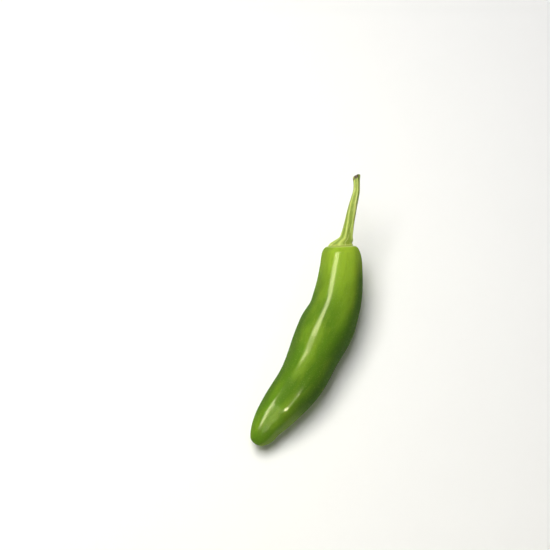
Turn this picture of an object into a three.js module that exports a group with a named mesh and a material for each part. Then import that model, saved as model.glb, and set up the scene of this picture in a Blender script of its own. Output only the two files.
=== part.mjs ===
// A green chili pepper of the plump cucumber kind, picked with its stem and lying on its side.
// It is two pieces: the pod, and the stem with the calyx, which pull apart as one piece each.
// Millimetres, +Z up, +Y from the tip towards the stem. The origin is on the surface that the
// pepper lies on, in the middle of the small flat that carries its weight.
import * as THREE from "three";
import { ParametricGeometry } from "three/addons/geometries/ParametricGeometry.js";

const { clamp, lerp, smoothstep, degToRad } = THREE.MathUtils;
const UP = new THREE.Vector3(0, 0, 1);

// The pod's centreline, from the seat of the calyx to the tip. It bows towards +X and its stem
// end lifts off the surface.
const POD_PATH = [
  [-5.65, 51.2, 22.4],
  [-4.4, 48.1, 20.55],
  [-1.95, 41.4, 18.4],
  [1.45, 25.5, 15.2],
  [1.5, 10.4, 13.2],
  [0.4, -4.35, 12.5],
  [-1.0, -23.2, 11.8],
  [-6.1, -40.2, 10.0],
  [-9.7, -51.5, 8.2],
  [-11.5, -62.1, 6.8],
];

// The pod's outline: share of its length from the calyx, and radius there.
const POD_OUTLINE = [
  [0, 0],
  [0.0005, 4.0],
  [0.003, 7.4],
  [0.015, 9.2],
  [0.036, 10.2],
  [0.061, 10.75],
  [0.1, 11.2],
  [0.187, 12.2],
  [0.28, 13.3],
  [0.37, 14.3],
  [0.45, 14.0],
  [0.55, 12.8],
  [0.65, 12.0],
  [0.737, 11.2],
  [0.802, 10.3],
  [0.864, 9.0],
  [0.906, 7.6],
  [0.948, 6.0],
  [0.978, 4.4],
  [0.993, 2.7],
  [1, 0],
];

// The three seed chambers show as faint lobes, which grow stronger towards the tip.
const LOBES = 3;
const LOBE_TURN = degToRad(75);
const LOBE_AT_SHOULDER = 0;
const LOBE_AT_TIP = 0.03;

// Soft swellings and dents in the wall: share of length, angle round the pod, height, and
// reach along and round it. They fade out where the outline closes to its poles.
const SWELLINGS = [
  { along: 0.31, around: degToRad(5), height: -0.9, reachAlong: 0.05, reachAround: 0.7 },
  { along: 0.18, around: degToRad(56), height: 0.6, reachAlong: 0.12, reachAround: 0.45 },
  { along: 0.54, around: degToRad(108), height: 0.5, reachAlong: 0.1, reachAround: 0.45 },
  { along: 0.82, around: degToRad(92), height: -1.3, reachAlong: 0.13, reachAround: 0.8 },
  { along: 0.955, around: degToRad(190), height: 0.9, reachAlong: 0.035, reachAround: 0.6 },
  { along: 0.785, around: degToRad(119), height: 0.25, reachAlong: 0.035, reachAround: 0.6 },
  { along: 0.82, around: degToRad(119), height: 0.42, reachAlong: 0.028, reachAround: 0.6 },
];
const FULL_RADIUS = 6;

// The stem's centreline, from its root on the calyx to the cut end.
const STEM_PATH = [
  [-3.5, 52.05, 22.4],
  [-4.1, 57.3, 24.6],
  [-5.3, 64.8, 27.3],
  [-6.4, 72.5, 29.6],
  [-7.4, 80.8, 31.9],
  [-9.8, 87.6, 33.7],
];

// The calyx and stem in one outline: height over the pod's shoulder, and radius there. It runs
// from under the calyx, round its rim, up the flare and along the stem to the cut end.
const STEM_OUTLINE = [
  [0, 0],
  [0, 3.5],
  [0, 5.5],
  [0.2, 6.2],
  [0.6, 6.1],
  [1.1, 5.5],
  [1.9, 4.7],
  [3.2, 3.8],
  [4.8, 3.2],
  [6.9, 2.9],
  [9, 2.7],
  [13.5, 2.4],
  [19, 2.25],
  [23.5, 2.05],
  [28.3, 1.8],
  [32.2, 1.6],
  [35.7, 1.65],
  [37.8, 1.9],
  [38.4, 1.6],
  [38.2, 0.8],
  [38.1, 0],
];
const SEAT_GAP = 0.35;

// The stem's root sits to one side of the calyx, so over these heights each section moves from
// the middle of the calyx to the stem's own centreline.
const SHIFT_FROM = 0.3;
const SHIFT_TO = 3.8;

// Five sepals end in short points that grow over these radii at the rim. A vein stands up along
// each one, and runs on as a rib along the stem, which twists a little.
const SEPALS = 5;
const SEPAL_TURN = degToRad(26);
const SEPAL_POINT = 0.5;
const POINT_FROM = 4.4;
const POINT_TO = 6.1;
const VEIN = 0.35;
const VEIN_FROM = 0.5;
const VEIN_TO = 1;
const RIB = 0.08;
const RIB_FROM = 1.2;
const RIB_TO = 5;
const TWIST_PER_MM = degToRad(1.2);

// The cut across the end slants, which shows over the stem's last millimetres.
const CUT_SLANT = 0.45;
const CUT_REACH = 4;

// Facets: sides round each section, and stretches along each piece.
const POD_SIDES = 40;
const POD_STATIONS = 60;
const STEM_SIDES = 40;
const STEM_STATIONS = 60;

const pathThrough = (points) => new THREE.CatmullRomCurve3(points.map((p) => new THREE.Vector3(...p)));
const outlineThrough = (points) => new THREE.SplineCurve(points.map((p) => new THREE.Vector2(...p)));

const podPath = pathThrough(POD_PATH);
const podLength = podPath.getLength();
const podOutline = outlineThrough(POD_OUTLINE);
const shoulder = podOutline.getPoints(400);
const stemPath = pathThrough(STEM_PATH);
const stemLength = stemPath.getLength();
const stemOutline = outlineThrough(STEM_OUTLINE);

// The centre, level sideways direction and upward direction of a section across a path.
function sectionAt(path, share) {
  const centre = path.getPointAt(share);
  const ahead = path.getTangentAt(share);
  const side = new THREE.Vector3().crossVectors(ahead, UP).normalize();
  const up = new THREE.Vector3().crossVectors(side, ahead);
  return { centre, ahead, side, up };
}

function pointOn({ centre, side, up }, radius, angle, target) {
  target.copy(centre);
  target.addScaledVector(side, radius * Math.cos(angle));
  return target.addScaledVector(up, radius * Math.sin(angle));
}

// How far the pod's shoulder has fallen away from its top at a radius.
function shoulderDrop(radius) {
  const there = shoulder.find((p) => p.y >= radius);
  return Math.max(0, there.x) * podLength;
}

function swellingAt(share, angle) {
  let height = 0;
  for (const s of SWELLINGS) {
    const apart = Math.atan2(Math.sin(angle - s.around), Math.cos(angle - s.around));
    const along = (share - s.along) / s.reachAlong;
    height += s.height * Math.exp(-(along * along) - (apart / s.reachAround) ** 2);
  }
  return height;
}

function podPoint(u, v, target) {
  const angle = -u * 2 * Math.PI;
  const outline = podOutline.getPoint(v);
  const share = clamp(outline.x, 0, 1);
  const lobe = lerp(LOBE_AT_SHOULDER, LOBE_AT_TIP, share) * Math.cos(LOBES * (angle - LOBE_TURN));
  const fullness = smoothstep(outline.y, 0, FULL_RADIUS);
  const radius = outline.y * (1 + lobe) + fullness * swellingAt(share, angle);
  pointOn(sectionAt(podPath, share), radius, angle, target);
  target.z = Math.max(0, target.z);
}

// The pod's end section, turned to look along the stem.
const seat = sectionAt(podPath, 0);
seat.ahead.negate();
seat.side.negate();

function stemPoint(u, v, target) {
  const angle = -u * 2 * Math.PI;
  const outline = stemOutline.getPoint(v);
  const above = Math.max(0, outline.x);
  const shift = smoothstep(above, SHIFT_FROM, SHIFT_TO);
  const wave = Math.cos(SEPALS * (angle - SEPAL_TURN - TWIST_PER_MM * above));
  const rib = 1 + RIB * wave * smoothstep(above, RIB_FROM, RIB_TO);
  const vein = 1 + VEIN * wave * (1 - shift) * smoothstep(above, VEIN_FROM, VEIN_TO);
  const point = SEPAL_POINT * ((1 + wave) / 2) ** 2 * smoothstep(outline.y, POINT_FROM, POINT_TO);
  const radius = outline.y * rib + point;
  const nearCut = smoothstep(above, stemLength - CUT_REACH, stemLength);
  const slant = CUT_SLANT * radius * Math.cos(angle) * nearCut;
  const height = above * vein + slant;
  const onCalyx = pointOn(seat, radius, angle, new THREE.Vector3());
  onCalyx.addScaledVector(seat.ahead, SEAT_GAP + height - shoulderDrop(radius));
  const share = clamp(height / stemLength, 0, 1);
  const section = sectionAt(stemPath, share);
  section.centre.addScaledVector(section.ahead, height - share * stemLength);
  const onStem = pointOn(section, radius, angle, new THREE.Vector3());
  target.lerpVectors(onCalyx, onStem, shift);
}

const podSkin = new THREE.MeshStandardMaterial({ color: 0x6f9f27, roughness: 0.28, metalness: 0 });
const stemSkin = new THREE.MeshStandardMaterial({ color: 0x9db94a, roughness: 0.6, metalness: 0 });

function piece(name, surface, sides, stations, material) {
  const mesh = new THREE.Mesh(new ParametricGeometry(surface, sides, stations), material);
  mesh.name = name;
  return mesh;
}

const pepper = new THREE.Group();
pepper.add(piece("pod", podPoint, POD_SIDES, POD_STATIONS, podSkin));
pepper.add(piece("calyx_and_stem", stemPoint, STEM_SIDES, STEM_STATIONS, stemSkin));

export default pepper;
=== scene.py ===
"""A green cucumber chili pepper, picked with its calyx and stem, lying on its side on a pale floor.

Metres, +Z up, +Y from the tip towards the stem. Both pieces are grown straight along Z, as they
hang on the plant, and are then laid on the bowed centrelines of the real pepper.
"""

import math
from bisect import bisect_right

import bpy
from bpy.props import FloatProperty, FloatVectorProperty, IntProperty, PointerProperty
from mathutils import Matrix, Vector, geometry, noise


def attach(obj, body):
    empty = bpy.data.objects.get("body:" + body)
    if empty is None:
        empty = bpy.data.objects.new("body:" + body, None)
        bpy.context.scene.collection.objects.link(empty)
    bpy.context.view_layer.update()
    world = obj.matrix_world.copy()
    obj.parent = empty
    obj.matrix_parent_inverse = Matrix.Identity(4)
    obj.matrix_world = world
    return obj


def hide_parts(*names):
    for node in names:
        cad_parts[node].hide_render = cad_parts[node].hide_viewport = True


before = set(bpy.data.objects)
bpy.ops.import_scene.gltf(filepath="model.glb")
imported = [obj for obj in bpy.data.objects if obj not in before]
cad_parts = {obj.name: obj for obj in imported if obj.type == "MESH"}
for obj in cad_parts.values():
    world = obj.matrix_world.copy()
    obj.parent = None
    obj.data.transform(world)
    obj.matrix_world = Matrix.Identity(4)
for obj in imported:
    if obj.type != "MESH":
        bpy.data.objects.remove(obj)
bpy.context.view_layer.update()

bl_info = {
    "name": "Cucumber chili pepper",
    "version": (1, 0, 0),
    "blender": (4, 5, 0),
    "location": "View3D > Sidebar > Pepper",
    "description": "Models one green chili pepper with its calyx and stem, lying on its side",
    "category": "Add Mesh",
}

BODY = "root"
UP = Vector((0, 0, 1))

# The pod's centreline, from the seat of the calyx to the tip, and its outline: share of its
# length from the calyx, and radius there.
POD_PATH = [
    (-0.00565, 0.0512, 0.0224),
    (-0.0044, 0.0481, 0.02055),
    (-0.00195, 0.0414, 0.0184),
    (0.00145, 0.0255, 0.0152),
    (0.0015, 0.0104, 0.0132),
    (0.0004, -0.00435, 0.0125),
    (-0.001, -0.0232, 0.0118),
    (-0.0061, -0.0402, 0.01),
    (-0.0097, -0.0515, 0.0082),
    (-0.0115, -0.0621, 0.0068),
]
POD_OUTLINE = [
    (0.0, 0.0),
    (0.0005, 0.004),
    (0.003, 0.0074),
    (0.015, 0.0092),
    (0.036, 0.0102),
    (0.061, 0.01075),
    (0.1, 0.0112),
    (0.187, 0.0122),
    (0.28, 0.0133),
    (0.37, 0.0143),
    (0.45, 0.014),
    (0.55, 0.0128),
    (0.65, 0.012),
    (0.737, 0.0112),
    (0.802, 0.0103),
    (0.864, 0.009),
    (0.906, 0.0076),
    (0.948, 0.006),
    (0.978, 0.0044),
    (0.993, 0.0027),
    (1.0, 0.0),
]

# The stem's centreline from its root on the calyx to the cut end, and the outline of the calyx
# and stem: height over the pod's shoulder, and radius there.
STEM_PATH = [
    (-0.0035, 0.05205, 0.0224),
    (-0.0041, 0.0573, 0.0246),
    (-0.0053, 0.0648, 0.0273),
    (-0.0064, 0.0725, 0.0296),
    (-0.0074, 0.0808, 0.0319),
    (-0.0098, 0.0876, 0.0337),
]
STEM_OUTLINE = [
    (0.0, 0.0),
    (0.0, 0.0035),
    (0.0, 0.0055),
    (0.0001, 0.0062),
    (0.0004, 0.0062),
    (0.001, 0.0056),
    (0.0019, 0.0047),
    (0.0032, 0.0038),
    (0.0048, 0.0032),
    (0.0069, 0.0029),
    (0.009, 0.0027),
    (0.0135, 0.0024),
    (0.019, 0.00225),
    (0.0235, 0.00205),
    (0.0283, 0.0018),
    (0.0322, 0.0016),
    (0.0357, 0.00165),
    (0.0378, 0.0019),
    (0.0384, 0.0016),
    (0.0382, 0.0008),
    (0.0381, 0.0),
]
CURVE_STEPS = 40

# Soft swellings and dents in the pod's wall: share of length, angle round the pod from its left
# side over the top, height, and reach along and round it. They fade out towards the poles,
# where the pod is thinner than its full radius.
SWELLINGS = [
    (0.31, math.radians(5), -0.0009, 0.05, 0.7),
    (0.18, math.radians(56), 0.0006, 0.12, 0.45),
    (0.54, math.radians(108), 0.0005, 0.1, 0.45),
    (0.82, math.radians(92), -0.0013, 0.13, 0.8),
    (0.955, math.radians(190), 0.0009, 0.035, 0.6),
    (0.785, math.radians(119), 0.00025, 0.035, 0.6),
    (0.82, math.radians(119), 0.00042, 0.028, 0.6),
]
FULL_RADIUS = 0.006
LOBES = 3
LOBE_TURN = math.radians(75)

# Half the height over which the pod's flattened underside blends into its round wall.
BED_BLEND = 0.00008

# Where on the stem its parts begin and end, as heights over the shoulder, and where on the
# calyx the sepal points and the painted highlight round its rim start and are full, as radii.
SHIFT = (0.0003, 0.0038)
VEINS = (0.0005, 0.001)
RIBS = (0.0012, 0.005)
POINTS = (0.0044, 0.0061)
RIM_HIGHLIGHT = (0.0052, 0.006)
SEAT_GAP = 0.00003

# The calyx ends in five sepals. Each one's vein runs on as a rib along the stem, and the ribs
# twist by this angle in a metre. The rest are shares: a vein's height, the part of a rib that
# stays inside the stem's round outline, and how rough the ribs and the sepal points are.
SEPALS = 5
SEPAL_TURN = math.radians(154)
TWIST = math.radians(1200)
VEIN_HEIGHT = 0.35
RIB_INSIDE = 0.4
RIB_ROUGHNESS = 0.04
POINT_ROUGHNESS = 0.4

# The cut across the stem's end slants and is ragged. Near it the stem dries up in flecks, most
# of all on its left.
CUT_REACH = 0.004
CUT_SLANT = 0.45
CUT_RAGGED = 0.0003
DRY_REACH = 0.0035
DRY_SIDE = (-0.0008, 0.0014)
DRY_AT_RIGHT = 0.25
DRY_FLECKS = 2.2

# Random roughness: waves in a metre across and along the straight piece. The stem's ribs take
# their roughness from a circle of radius 1 round the stem instead.
WALL_WAVES = (90, 45)
FLECKS = (900, 500)
RAGGED_WAVES = (1500, 0)
RIB_WAVES = (2, 60)

# Where the pod's colours change: first heights on the straight pod, whose tip is at -0.118, and
# then places round it, from 1 on its left side to -1 on its right. The changes include painted
# shade down the sides, a painted reflection on the tip's right edge and a painted highlight next
# to the calyx.
SHOULDER_GREEN = (-0.055, 0.0)
RING_HIGHLIGHT = (-0.0009, -0.0003)
TIP_REFLECTION = (-0.082, -0.108)
RIGHT_SHADE_ENDS = (-0.108, -0.084)
LEFT_SHADE_ENDS = (-0.11, -0.098)
LEFT_SIDE = (0.35, 0.85)
RIGHT_SIDE = (-0.5, -0.95)
RIGHT_EDGE = (-0.8, -0.97)

# The patterns in the finishes: how many patches fit in a metre, the share of them that is left
# along the piece, which draws them out, and the finer steps in them. The fibres are counted on a
# circle of radius 1 round the stem instead, beside which a metre of stem counts as FIBRE_UNITS.
PATCHES = (120, 0.35, 3)
BROAD_PATCHES = (55, 0.5, 2)
STREAKS = (650, 0.1, 3)
SPECKS = (2600, 1, 1)
SKIN_WAVES = (800, 0.5, 3)
STEM_PATCHES = (500, 1, 2)
FIBRES = (5, 1, 2)
FIBRE_UNITS = 25
FLOOR_GRAIN = (40, 1, 3)

# Heights of the relief that those patterns give, and the limits of each skin's roughness.
WAVE_HEIGHT = 0.0001
SPECK_HEIGHT = 0.00001
FIBRE_HEIGHT = 0.00025
POD_ROUGHNESS = (0.3, 0.38)
STEM_ROUGHNESS = (0.42, 0.58)

# The camera stands where the photograph was taken from, over a wide square floor.
CAMERA_AZIMUTH = math.radians(20)
CAMERA_ELEVATION = math.radians(62)
CAMERA_PLACE = (0.0759, -0.2737, 0.6163)
CAMERA_LENS = 85
FLOOR_SIZE = 4

# The softboxes hang over the pepper: the two ends of each one's middle line, and its width. The
# main one lights the pepper and the floor, and the others only show as highlights.
MAIN_SOFTBOX = ((-0.26, -0.22, 0.75), (-0.26, 0.38, 0.75), 0.6)
STREAK_PANEL = ((-0.32, 0.26, 0.75), (-0.32, 0.48, 0.75), 0.22)
NEAR_PANEL = ((-0.36, 0.138, 0.75), (-0.36, 0.26, 0.75), 0.32)
LEFT_PANEL = ((-0.59, -0.09, 0.7), (-0.31, -0.36, 0.7), 0.16)
RIGHT_PANEL = ((0.36, -0.41, 0.7), (0.65, -0.41, 0.7), 0.14)
FRONT_PANEL = ((-0.24, -0.28, 0.7), (0.42, -0.59, 0.7), 0.13)


class PodSettings(bpy.types.PropertyGroup):
    sides: IntProperty(
        name="Sides",
        description="Faces round the pod before it is smoothed",
        default=48,
    )
    lobe_depth: FloatProperty(
        name="Lobe depth",
        description="How strongly the seed chambers show at the tip, as a share of the radius",
        default=0.03,
        subtype="FACTOR",
    )
    unevenness: FloatProperty(
        name="Unevenness",
        description="Height of the soft waves in the wall",
        default=0.00012,
        unit="LENGTH",
    )
    shoulder_colour: FloatVectorProperty(
        name="Shoulder colour",
        description="Young yellow-green round the calyx",
        default=(0.31, 0.47, 0.03),
        subtype="COLOR",
    )
    body_colour: FloatVectorProperty(
        name="Body colour",
        description="Green of the middle of the pod",
        default=(0.125, 0.265, 0.013),
        subtype="COLOR",
    )
    # Used for the broad random patches, and as painted shade down the pod's left side.
    patch_and_left_shade_colour: FloatVectorProperty(
        name="Side colour",
        description="Cooler green of the pod's left side",
        default=(0.055, 0.125, 0.01),
        subtype="COLOR",
    )
    # Used for the faint streaks, and as painted shade down the pod's right side.
    shade_and_streak_colour: FloatVectorProperty(
        name="Shade colour",
        description="Deeper green of the side that grew in the shade",
        default=(0.045, 0.11, 0.012),
        subtype="COLOR",
    )
    # A painted reflection of the floor, pale along the tip's right edge.
    tip_reflection_colour: FloatVectorProperty(
        name="Tip colour",
        description="Paler green of the tip's right edge",
        default=(0.27, 0.38, 0.1),
        subtype="COLOR",
    )
    speck_colour: FloatVectorProperty(
        name="Speck colour",
        description="Pale green of the fine specks in the skin",
        default=(0.45, 0.58, 0.12),
        subtype="COLOR",
    )
    # A painted highlight in a narrow ring on the pod next to the calyx.
    ring_highlight_colour: FloatVectorProperty(
        name="Ring colour",
        description="Pale lime of the ring next to the calyx",
        default=(0.62, 0.7, 0.2),
        subtype="COLOR",
    )


class StemSettings(bpy.types.PropertyGroup):
    sides: IntProperty(
        name="Sides",
        description="Faces round the stem before it is smoothed",
        default=60,
    )
    sepal_point: FloatProperty(
        name="Sepal points",
        description="How far the five sepals stand out from the calyx's rim",
        default=0.0005,
        unit="LENGTH",
    )
    rib_height: FloatProperty(
        name="Rib height",
        description="Height of the stem's five ribs, as a share of its radius",
        default=0.1,
        subtype="FACTOR",
    )
    # Also used for the painted highlight round the calyx's rim.
    rib_and_rim_highlight_colour: FloatVectorProperty(
        name="Rib colour",
        description="Pale lime of the ribs",
        default=(0.5, 0.6, 0.11),
        subtype="COLOR",
    )
    groove_colour: FloatVectorProperty(
        name="Groove colour",
        description="Green between the ribs",
        default=(0.24, 0.34, 0.03),
        subtype="COLOR",
    )
    fibre_colour: FloatVectorProperty(
        name="Fibre colour",
        description="Palest lime of the fine lines along the stem",
        default=(0.62, 0.7, 0.2),
        subtype="COLOR",
    )
    dry_colour: FloatVectorProperty(
        name="Dry colour",
        description="Brown of the dried cut",
        default=(0.06, 0.035, 0.015),
        subtype="COLOR",
    )


class StageSettings(bpy.types.PropertyGroup):
    floor_colour: FloatVectorProperty(
        name="Floor colour",
        description="Plain pale floor",
        default=(0.84, 0.84, 0.845),
        subtype="COLOR",
    )
    grain_colour: FloatVectorProperty(
        name="Floor grain",
        description="Slightly darker grey of the faint grain in the floor",
        default=(0.7, 0.7, 0.7),
        subtype="COLOR",
    )
    main_brightness: FloatProperty(
        name="Main softbox",
        description="Brightness of the wide softbox that lights the pepper and the floor",
        default=6.3,
    )
    streak_brightness: FloatProperty(
        name="Streak panels",
        description="Brightness of the two panels that draw the streak along the pod",
        default=95.0,
    )
    left_brightness: FloatProperty(
        name="Left panel",
        description="Brightness of the panel that draws the line by the tip",
        default=110.0,
    )
    right_brightness: FloatProperty(
        name="Right panel",
        description="Brightness of the panel that draws the round highlight by the tip",
        default=380.0,
    )
    front_brightness: FloatProperty(
        name="Front panel",
        description="Brightness of the panel that draws the faint band across the tip",
        default=16.0,
    )
    panel_colour: FloatVectorProperty(
        name="Panel colour",
        description="Warm white of the panels that only show as highlights",
        default=(1.0, 0.94, 0.6),
        subtype="COLOR",
    )
    sky_strength: FloatProperty(
        name="Sky",
        description="Strength of the even light from all round",
        default=0.15,
    )


def smoothstep(low, high, value):
    """Runs softly from 0 to 1 while the value runs from low to high."""
    share = min(1.0, max(0.0, (value - low) / (high - low)))
    return share * share * (3 - 2 * share)


def roughness_at(place, waves):
    """A smooth random height from -1 to 1, with so many waves in a unit across and along."""
    across, along = waves
    return noise.noise(Vector((place.x * across, place.y * across, place.z * along)))


def through(points, per_span, spacing=0.5):
    """Points on a smooth curve through the given ones. Spacing 0 takes all spans as equal."""
    points = [Vector(p) for p in points]
    padded = [2 * points[0] - points[1], *points, 2 * points[-1] - points[-2]]
    curve = []
    for before, start, end, after in zip(padded, padded[1:], padded[2:], padded[3:]):
        lead = (start - before).length ** spacing
        span = (end - start).length ** spacing
        tail = (after - end).length ** spacing
        leave = (start - before) / lead - (end - before) / (lead + span) + (end - start) / span
        arrive = (end - start) / span - (after - start) / (span + tail) + (after - end) / tail
        handles = (start + leave * (span / 3), end - arrive * (span / 3))
        curve += geometry.interpolate_bezier(start, *handles, end, per_span + 1)[:-1]
    return [*curve, points[-1]]


class Centreline:
    """A smooth line through points, with a level section across it at any distance along it."""

    def __init__(self, points, towards_stem):
        self.line = through(points, CURVE_STEPS)
        self.towards_stem = towards_stem
        self.runs = [0.0]
        for start, end in zip(self.line, self.line[1:]):
            self.runs.append(self.runs[-1] + (end - start).length)
        self.length = self.runs[-1]

    def ahead(self, index):
        """The line's direction at one of its points."""
        index = min(max(index, 1), len(self.line) - 2)
        return (self.line[index + 1] - self.line[index - 1]).normalized()

    def section(self, along):
        """The section's centre, and its directions to the left, upwards and towards the stem."""
        index = min(max(bisect_right(self.runs, along) - 1, 0), len(self.line) - 2)
        share = (along - self.runs[index]) / (self.runs[index + 1] - self.runs[index])
        ahead = self.ahead(index).lerp(self.ahead(index + 1), share).normalized()
        centre = self.line[index].lerp(self.line[index + 1], share)
        stemward = ahead * self.towards_stem
        left = UP.cross(stemward).normalized()
        return centre, left, stemward.cross(left), stemward


POD_LINE = Centreline(POD_PATH, towards_stem=-1)
STEM_LINE = Centreline(STEM_PATH, towards_stem=1)
SHOULDER = through(POD_OUTLINE, CURVE_STEPS, spacing=0)


def shoulder_drop(radius):
    """How far the pod's shoulder has fallen away from its top at a radius."""
    return next(max(0.0, p.x) for p in SHOULDER if p.y >= radius) * POD_LINE.length


def rings_of(outline, per_span, length=1.0):
    """An outline's (height, radius) rings. The points at its poles are left to the end discs."""
    return [(p.x * length, p.y) for p in through(outline, per_span, spacing=0)[2:-1]]


def grow(name, rings, sides):
    """A round body grown from a disc, ring by ring along Z, from (height, radius) pairs."""
    bpy.ops.object.select_all(action="DESELECT")
    height, radius = rings[0]
    bpy.ops.mesh.primitive_circle_add(
        vertices=sides, radius=radius, fill_type="TRIFAN", location=(0, 0, height)
    )
    piece = bpy.context.object
    piece.name = piece.data.name = name
    bpy.ops.object.transform_apply(location=True, rotation=False, scale=False)
    bpy.ops.object.mode_set(mode="EDIT")
    bpy.ops.mesh.select_all(action="SELECT")
    for next_height, next_radius in rings[1:]:
        rise = (0, 0, next_height - height)
        growth = next_radius / radius
        bpy.ops.mesh.extrude_region_move(TRANSFORM_OT_translate={"value": rise})
        bpy.ops.transform.resize(value=(growth, growth, 1), center_override=(0, 0, next_height))
        height, radius = next_height, next_radius
    bpy.ops.mesh.select_all(action="SELECT")
    bpy.ops.mesh.normals_make_consistent(inside=False)
    bpy.ops.object.mode_set(mode="OBJECT")
    return piece


def smooth(piece, levels):
    """Rounds a grown piece off between its rings and sides."""
    bpy.ops.object.modifier_add(type="SUBSURF")
    fine = piece.modifiers[-1]
    fine.levels = fine.render_levels = levels
    bpy.ops.object.modifier_apply(modifier=fine.name)
    bpy.ops.object.shade_smooth()


def lay(piece, place, marks):
    """Lays a straight piece on the pepper, and keeps on each vertex where it grew and its marks."""
    mesh = piece.data
    mesh.attributes.new("grown", "FLOAT_VECTOR", "POINT")
    for mark in marks:
        mesh.attributes.new(mark, "FLOAT", "POINT")
    for index, vertex in enumerate(mesh.vertices):
        grown = vertex.co.copy()
        mesh.attributes["grown"].data[index].vector = grown
        for mark, value_at in marks.items():
            mesh.attributes[mark].data[index].value = value_at(grown)
        vertex.co = place(grown)
    mesh.update()


def polar(grown):
    """A point's angle on a straight piece, from its left side over its top, and its radius."""
    return math.atan2(grown.y, grown.x), math.hypot(grown.x, grown.y)


def swelling_at(share, angle):
    """How far the pod's wall stands out at a share of its length and an angle round it."""
    height = 0.0
    for along, around, rise, reach_along, reach_around in SWELLINGS:
        apart = math.remainder(angle - around, 2 * math.pi) / reach_around
        away = (share - along) / reach_along
        height += rise * math.exp(-away * away - apart * apart)
    return height


def place_on_pod(grown):
    """Where a point of the straight pod lies: swollen, on the bowed centreline, on the floor."""
    settings = bpy.context.scene.pepper_pod
    share = -grown.z / POD_LINE.length
    angle, radius = polar(grown)
    fullness = smoothstep(0, FULL_RADIUS, radius)
    waves = settings.unevenness * roughness_at(grown, WALL_WAVES)
    radius *= 1 + settings.lobe_depth * share * math.cos(LOBES * (angle - LOBE_TURN))
    radius += fullness * (swelling_at(share, angle) + waves)
    centre, left, up, _ = POD_LINE.section(-grown.z)
    place = centre + radius * (left * math.cos(angle) + up * math.sin(angle))
    place.z = (place.z + math.hypot(place.z, 2 * BED_BLEND)) / 2
    return place


def rib_wave(grown):
    """Runs from -1 in the grooves to 1 along the sepals' veins and the stem's ribs."""
    angle, _ = polar(grown)
    return math.cos(SEPALS * (angle - SEPAL_TURN + TWIST * max(0.0, grown.z)))


def place_on_stem(grown):
    """Where a point of the straight stem lies: on the calyx at first, then along the stem."""
    settings = bpy.context.scene.pepper_stem
    angle, reach = polar(grown)
    above = max(0.0, grown.z)
    shift = smoothstep(*SHIFT, above)
    wave = rib_wave(grown)
    crest = ((1 + wave) / 2) ** 2
    rough = roughness_at(Vector((math.cos(angle), math.sin(angle), above)), RIB_WAVES)
    vein = 1 + VEIN_HEIGHT * wave * (1 - shift) * smoothstep(*VEINS, above)
    rib_height = 2 * settings.rib_height * (crest - RIB_INSIDE) + RIB_ROUGHNESS * rough
    point_length = settings.sepal_point * crest * (1 + POINT_ROUGHNESS * rough)
    radius = reach * (1 + rib_height * smoothstep(*RIBS, above))
    radius += point_length * smoothstep(*POINTS, reach)
    near_cut = smoothstep(STEM_LINE.length - CUT_REACH, STEM_LINE.length, above)
    ragged = CUT_RAGGED * roughness_at(grown, RAGGED_WAVES)
    slant = CUT_SLANT * radius * math.cos(angle)
    height = above * vein + (ragged - slant) * near_cut
    seat, left, up, stemward = POD_LINE.section(0)
    on_calyx = seat + radius * (left * math.cos(angle) + up * math.sin(angle))
    on_calyx += stemward * (SEAT_GAP + height - shoulder_drop(radius))
    centre, left, up, stemward = STEM_LINE.section(min(height, STEM_LINE.length))
    on_stem = centre + radius * (left * math.cos(angle) + up * math.sin(angle))
    on_stem += stemward * max(0.0, height - STEM_LINE.length)
    return on_calyx.lerp(on_stem, shift)


def paleness_and_rim_highlight(grown):
    """How pale the stem is: most along the veins and ribs, and round the calyx's rim, where the
    paleness is a painted highlight.
    """
    _, radius = polar(grown)
    return max((1 + rib_wave(grown)) / 2, smoothstep(*RIM_HIGHLIGHT, radius))


def dryness(grown):
    """How far the stem has dried: in flecks near the cut, most of all on its left."""
    near_cut = smoothstep(STEM_LINE.length - DRY_REACH, STEM_LINE.length, grown.z)
    leftward = DRY_AT_RIGHT + (1 - DRY_AT_RIGHT) * smoothstep(*DRY_SIDE, grown.x)
    dry = near_cut * (leftward + DRY_FLECKS * roughness_at(grown, FLECKS))
    return min(1.0, max(0.0, dry))


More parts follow.
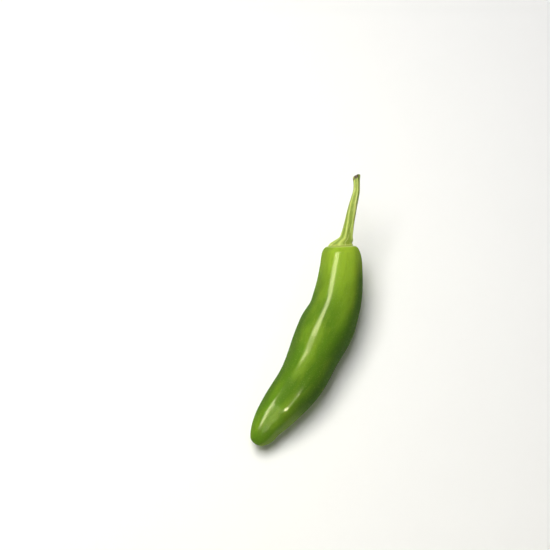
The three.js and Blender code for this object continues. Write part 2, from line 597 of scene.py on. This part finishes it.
class Finish:
    """A material and the few node steps that its finish is made of."""

    def __init__(self, name, **even_values):
        self.material = bpy.data.materials.new(name)
        self.material.use_nodes = True
        self.nodes = self.material.node_tree.nodes
        self.links = self.material.node_tree.links
        self.shader = self.nodes["Principled BSDF"]
        for socket, value in even_values.items():
            self.shader.inputs[socket.replace("_", " ")].default_value = value

    def feed(self, socket, source):
        """Links another node's output to a socket, or sets the socket's own value."""
        if isinstance(source, bpy.types.NodeSocket):
            self.links.new(source, socket)
        elif socket.type == "RGBA":
            socket.default_value = (*source, 1.0)
        else:
            socket.default_value = source

    def mark(self, name, output="Fac"):
        """A value that the mesh keeps on each vertex."""
        node = self.nodes.new("ShaderNodeAttribute")
        node.attribute_name = name
        return node.outputs[output]

    def stretch(self, vector, scale):
        node = self.nodes.new("ShaderNodeMapping")
        node.inputs["Scale"].default_value = scale
        self.feed(node.inputs["Vector"], vector)
        return node.outputs["Vector"]

    def vector_math(self, operation, first, second=(0, 0, 0)):
        node = self.nodes.new("ShaderNodeVectorMath")
        node.operation = operation
        self.feed(node.inputs[0], first)
        self.feed(node.inputs[1], second)
        return node.outputs["Vector"]

    def outwards(self, grown):
        """The direction away from the straight piece's middle line, without its height."""
        return self.vector_math("NORMALIZE", self.stretch(grown, (1, 1, 0)))

    def separate(self, vector):
        node = self.nodes.new("ShaderNodeSeparateXYZ")
        self.feed(node.inputs["Vector"], vector)
        return node.outputs

    def cloud(self, vector, per_metre, lengthwise, detail):
        """Soft noise with so many patches in a metre, and this share of them lengthwise."""
        node = self.nodes.new("ShaderNodeTexNoise")
        node.inputs["Scale"].default_value = per_metre
        node.inputs["Detail"].default_value = detail
        self.feed(node.inputs["Vector"], self.stretch(vector, (1, 1, lengthwise)))
        return node.outputs["Fac"]

    def remap(self, value, low, high, to_low=0.0, to_high=1.0):
        """Runs softly from one value to another while the given one runs from low to high."""
        node = self.nodes.new("ShaderNodeMapRange")
        node.interpolation_type = "SMOOTHSTEP"
        self.feed(node.inputs["Value"], value)
        node.inputs["From Min"].default_value = low
        node.inputs["From Max"].default_value = high
        node.inputs["To Min"].default_value = to_low
        node.inputs["To Max"].default_value = to_high
        return node.outputs["Result"]

    def times(self, first, *others):
        """The product of several shares."""
        for other in others:
            node = self.nodes.new("ShaderNodeMath")
            node.operation = "MULTIPLY"
            self.feed(node.inputs[0], first)
            self.feed(node.inputs[1], other)
            first = node.outputs["Value"]
        return first

    def layers(self, colour, *laid_on):
        """A colour with others laid on it one after another, each with its share."""
        for share, added in laid_on:
            node = self.nodes.new("ShaderNodeMix")
            node.data_type = "RGBA"
            below, above = [socket for socket in node.inputs if socket.type == "RGBA"]
            self.feed(node.inputs["Factor"], share)
            self.feed(below, colour)
            self.feed(above, added)
            colour = next(socket for socket in node.outputs if socket.type == "RGBA")
        return colour

    def bump(self, height, distance, under=None):
        """Relief of this height, over the relief that is under it."""
        node = self.nodes.new("ShaderNodeBump")
        node.inputs["Strength"].default_value = 1.0
        node.inputs["Distance"].default_value = distance
        self.feed(node.inputs["Height"], height)
        if under is not None:
            self.feed(node.inputs["Normal"], under)
        return node.outputs["Normal"]

    def paint(self, **sources):
        for socket, source in sources.items():
            self.feed(self.shader.inputs[socket.replace("_", " ")], source)
        return self.material


def pod_finish():
    """Waxy skin: yellow-green at the shoulder, mottled and faintly streaked along the pod, with
    painted shade down both sides, a painted reflection on the tip's right edge and a painted
    highlight in a ring next to the calyx.
    """
    settings = bpy.context.scene.pepper_pod
    finish = Finish(
        "waxy_green_skin",
        Specular_IOR_Level=0.0,
        Coat_Weight=0.1,
        Coat_Roughness=0.138,
        Subsurface_Weight=0.08,
        Subsurface_Scale=0.004,
    )
    grown = finish.mark("grown", "Vector")
    z = finish.separate(grown)["Z"]
    leftward = finish.separate(finish.outwards(grown))["X"]
    patches = finish.cloud(grown, *PATCHES)
    broad = finish.cloud(grown, *BROAD_PATCHES)
    streaks = finish.cloud(grown, *STREAKS)
    specks = finish.cloud(grown, *SPECKS)
    near_shoulder = finish.remap(z, *SHOULDER_GREEN)
    # Painted shade: the pod's right side darker, less so at the shoulder and at the tip.
    right_shade = finish.times(
        finish.remap(leftward, *RIGHT_SIDE),
        finish.remap(near_shoulder, 1.0, 0.7, to_low=0.15, to_high=0.9),
        finish.remap(z, *RIGHT_SHADE_ENDS, to_low=0.3),
    )
    # Painted shade: the pod's left side darker, most of all away from the shoulder, less at the
    # very tip.
    left_shade = finish.times(
        finish.remap(leftward, *LEFT_SIDE),
        finish.remap(near_shoulder, 1.0, 0.0, to_low=0.35, to_high=0.8),
        finish.remap(z, *LEFT_SHADE_ENDS, to_low=0.4),
    )
    # Painted reflection of the floor: pale along the tip's right edge.
    tip_edge_reflection = finish.times(
        finish.remap(leftward, *RIGHT_EDGE),
        finish.remap(z, *TIP_REFLECTION, to_high=0.6),
    )
    colour = finish.layers(
        settings.body_colour,
        (near_shoulder, settings.shoulder_colour),
        (finish.remap(broad, 0.45, 0.65, to_high=0.3), settings.patch_and_left_shade_colour),
        (finish.remap(patches, 0.42, 0.7, to_high=0.45), settings.shoulder_colour),
        (right_shade, settings.shade_and_streak_colour),
        (tip_edge_reflection, settings.tip_reflection_colour),
        (left_shade, settings.patch_and_left_shade_colour),
        (finish.remap(streaks, 0.45, 0.7, to_high=0.12), settings.shade_and_streak_colour),
        (finish.remap(specks, 0.62, 0.72, to_high=0.25), settings.speck_colour),
        # A painted highlight in a narrow ring next to the calyx.
        (finish.remap(z, *RING_HIGHLIGHT, to_high=0.6), settings.ring_highlight_colour),
    )
    roughness = finish.remap(patches, 0.3, 0.7, *POD_ROUGHNESS)
    normal = finish.bump(finish.cloud(grown, *SKIN_WAVES), WAVE_HEIGHT)
    normal = finish.bump(specks, SPECK_HEIGHT, under=normal)
    return finish.paint(Base_Color=colour, Roughness=roughness, Normal=normal)


def stem_finish():
    """Satin stem: pale ribs, greener grooves, fine fibres, a painted highlight round the calyx's
    rim, and a dried brown cut.
    """
    settings = bpy.context.scene.pepper_stem
    finish = Finish(
        "ribbed_stem",
        Specular_IOR_Level=0.12,
        Subsurface_Weight=0.1,
        Subsurface_Scale=0.002,
    )
    grown = finish.mark("grown", "Vector")
    along_stem = finish.stretch(grown, (0, 0, FIBRE_UNITS))
    around_stem = finish.vector_math("ADD", finish.outwards(grown), along_stem)
    fibres = finish.cloud(around_stem, *FIBRES)
    patches = finish.cloud(grown, *STEM_PATCHES)
    colour = finish.layers(
        settings.groove_colour,
        # Pale ribs, and a painted highlight round the calyx's rim.
        (finish.remap(finish.mark("rib_and_rim_highlight"), 0.35, 1.0), settings.rib_and_rim_highlight_colour),
        (finish.remap(fibres, 0.4, 0.7, to_high=0.35), settings.groove_colour),
        (finish.remap(patches, 0.5, 0.8, to_high=0.35), settings.rib_and_rim_highlight_colour),
        (finish.remap(fibres, 0.42, 0.34, to_high=0.6), settings.fibre_colour),
        (finish.mark("dry"), settings.dry_colour),
    )
    roughness = finish.remap(fibres, 0.3, 0.7, *STEM_ROUGHNESS)
    normal = finish.bump(fibres, FIBRE_HEIGHT)
    return finish.paint(Base_Color=colour, Roughness=roughness, Normal=normal)


def floor_finish():
    """Plain pale floor with a faint grain."""
    settings = bpy.context.scene.pepper_stage
    finish = Finish("pale_floor", Roughness=0.6, Specular_IOR_Level=0.3)
    grain = finish.cloud(finish.mark("position", "Vector"), *FLOOR_GRAIN)
    colour = finish.layers(
        settings.floor_colour,
        (finish.remap(grain, 0.3, 0.7, to_high=0.03), settings.grain_colour),
    )
    return finish.paint(Base_Color=colour)


class PEPPER_OT_pod(bpy.types.Operator):
    """Grow the pod and lay it on its bowed centreline"""

    bl_idname = "pepper.pod"
    bl_label = "Pod"

    def execute(self, context):
        rings = rings_of(POD_OUTLINE, per_span=4, length=-POD_LINE.length)
        pod = grow("pepper_pod", rings, context.scene.pepper_pod.sides)
        smooth(pod, levels=2)
        lay(pod, place_on_pod, marks={})
        pod.data.materials.append(pod_finish())
        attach(pod, BODY)
        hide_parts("pod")
        return {"FINISHED"}


class PEPPER_OT_stem(bpy.types.Operator):
    """Grow the calyx and stem, and lay them on the pod's shoulder"""

    bl_idname = "pepper.stem"
    bl_label = "Calyx and stem"

    def execute(self, context):
        rings = rings_of(STEM_OUTLINE, per_span=5)
        stem = grow("calyx_with_stem", rings, context.scene.pepper_stem.sides)
        smooth(stem, levels=1)
        lay(stem, place_on_stem, marks={"rib_and_rim_highlight": paleness_and_rim_highlight, "dry": dryness})
        stem.data.materials.append(stem_finish())
        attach(stem, BODY)
        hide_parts("calyx_and_stem")
        return {"FINISHED"}


def add_floor():
    bpy.ops.object.select_all(action="DESELECT")
    bpy.ops.mesh.primitive_plane_add(size=FLOOR_SIZE)
    floor = bpy.context.object
    floor.name = "floor"
    floor.data.materials.append(floor_finish())


def softbox(name, start, end, width, brightness, colour=(1, 1, 1)):
    """A long panel of light from one point to another, which faces the pepper."""
    start, end = Vector(start), Vector(end)
    along = (end - start).normalized()
    middle = (start + end) / 2
    away = (middle - along * middle.dot(along)).normalized()
    bpy.ops.object.light_add(type="AREA", location=middle)
    light = bpy.context.object
    light.name = light.data.name = name
    light.rotation_euler = Matrix((along.cross(away), along, away)).transposed().to_euler()
    light.data.shape = "RECTANGLE"
    light.data.size = width
    light.data.size_y = (end - start).length
    light.data.energy = brightness * math.pi * light.data.size * light.data.size_y
    light.data.color = colour
    return light


def hang_lights(settings):
    """The main softbox, and the panels that draw the highlights on the skin."""
    softbox("main_softbox", *MAIN_SOFTBOX, settings.main_brightness).visible_glossy = False
    for name, place, brightness in (
        ("streak_panel", STREAK_PANEL, settings.streak_brightness),
        ("near_panel", NEAR_PANEL, settings.streak_brightness),
        ("left_panel", LEFT_PANEL, settings.left_brightness),
        ("right_panel", RIGHT_PANEL, settings.right_brightness),
        ("front_panel", FRONT_PANEL, settings.front_brightness),
    ):
        softbox(name, *place, brightness, settings.panel_colour).visible_diffuse = False


def add_sky(scene, strength):
    scene.world = bpy.data.worlds.new("studio")
    scene.world.use_nodes = True
    sky = scene.world.node_tree.nodes["Background"]
    sky.inputs["Color"].default_value = (1, 1, 1, 1)
    sky.inputs["Strength"].default_value = strength


def add_camera(scene):
    bpy.ops.object.camera_add(location=CAMERA_PLACE)
    camera = bpy.context.object
    camera.data.lens = CAMERA_LENS
    level = math.cos(CAMERA_ELEVATION)
    back = Vector((
        math.sin(CAMERA_AZIMUTH) * level,
        -math.cos(CAMERA_AZIMUTH) * level,
        math.sin(CAMERA_ELEVATION),
    ))
    camera.rotation_euler = back.to_track_quat("Z", "Y").to_euler()
    scene.camera = camera


class PEPPER_OT_stage(bpy.types.Operator):
    """Add the pale floor, the soft studio light and the camera"""

    bl_idname = "pepper.stage"
    bl_label = "Stage"

    def execute(self, context):
        settings = context.scene.pepper_stage
        add_floor()
        hang_lights(settings)
        add_sky(context.scene, settings.sky_strength)
        add_camera(context.scene)
        context.scene.view_settings.view_transform = "Standard"
        return {"FINISHED"}


SETTINGS = {"pepper_pod": PodSettings, "pepper_stem": StemSettings, "pepper_stage": StageSettings}
OPERATORS = [PEPPER_OT_pod, PEPPER_OT_stem, PEPPER_OT_stage]


class PEPPER_PT_parts(bpy.types.Panel):
    """The pepper's pieces, the stage, and their sizes and colours"""

    bl_label = "Cucumber chili pepper"
    bl_idname = "PEPPER_PT_parts"
    bl_space_type = "VIEW_3D"
    bl_region_type = "UI"
    bl_category = "Pepper"

    def draw(self, context):
        for operator in OPERATORS:
            self.layout.operator(operator.bl_idname)
        for name, group in SETTINGS.items():
            box = self.layout.box()
            for field in group.__annotations__:
                box.prop(getattr(context.scene, name), field)


def register():
    for added in [*SETTINGS.values(), *OPERATORS, PEPPER_PT_parts]:
        bpy.utils.register_class(added)
    for name, group in SETTINGS.items():
        setattr(bpy.types.Scene, name, PointerProperty(type=group))


def unregister():
    for name in SETTINGS:
        delattr(bpy.types.Scene, name)
    for added in reversed([*SETTINGS.values(), *OPERATORS, PEPPER_PT_parts]):
        bpy.utils.unregister_class(added)


def main():
    register()
    bpy.ops.pepper.pod()
    bpy.ops.pepper.stem()
    bpy.ops.pepper.stage()


if __name__ == "__main__":
    main()
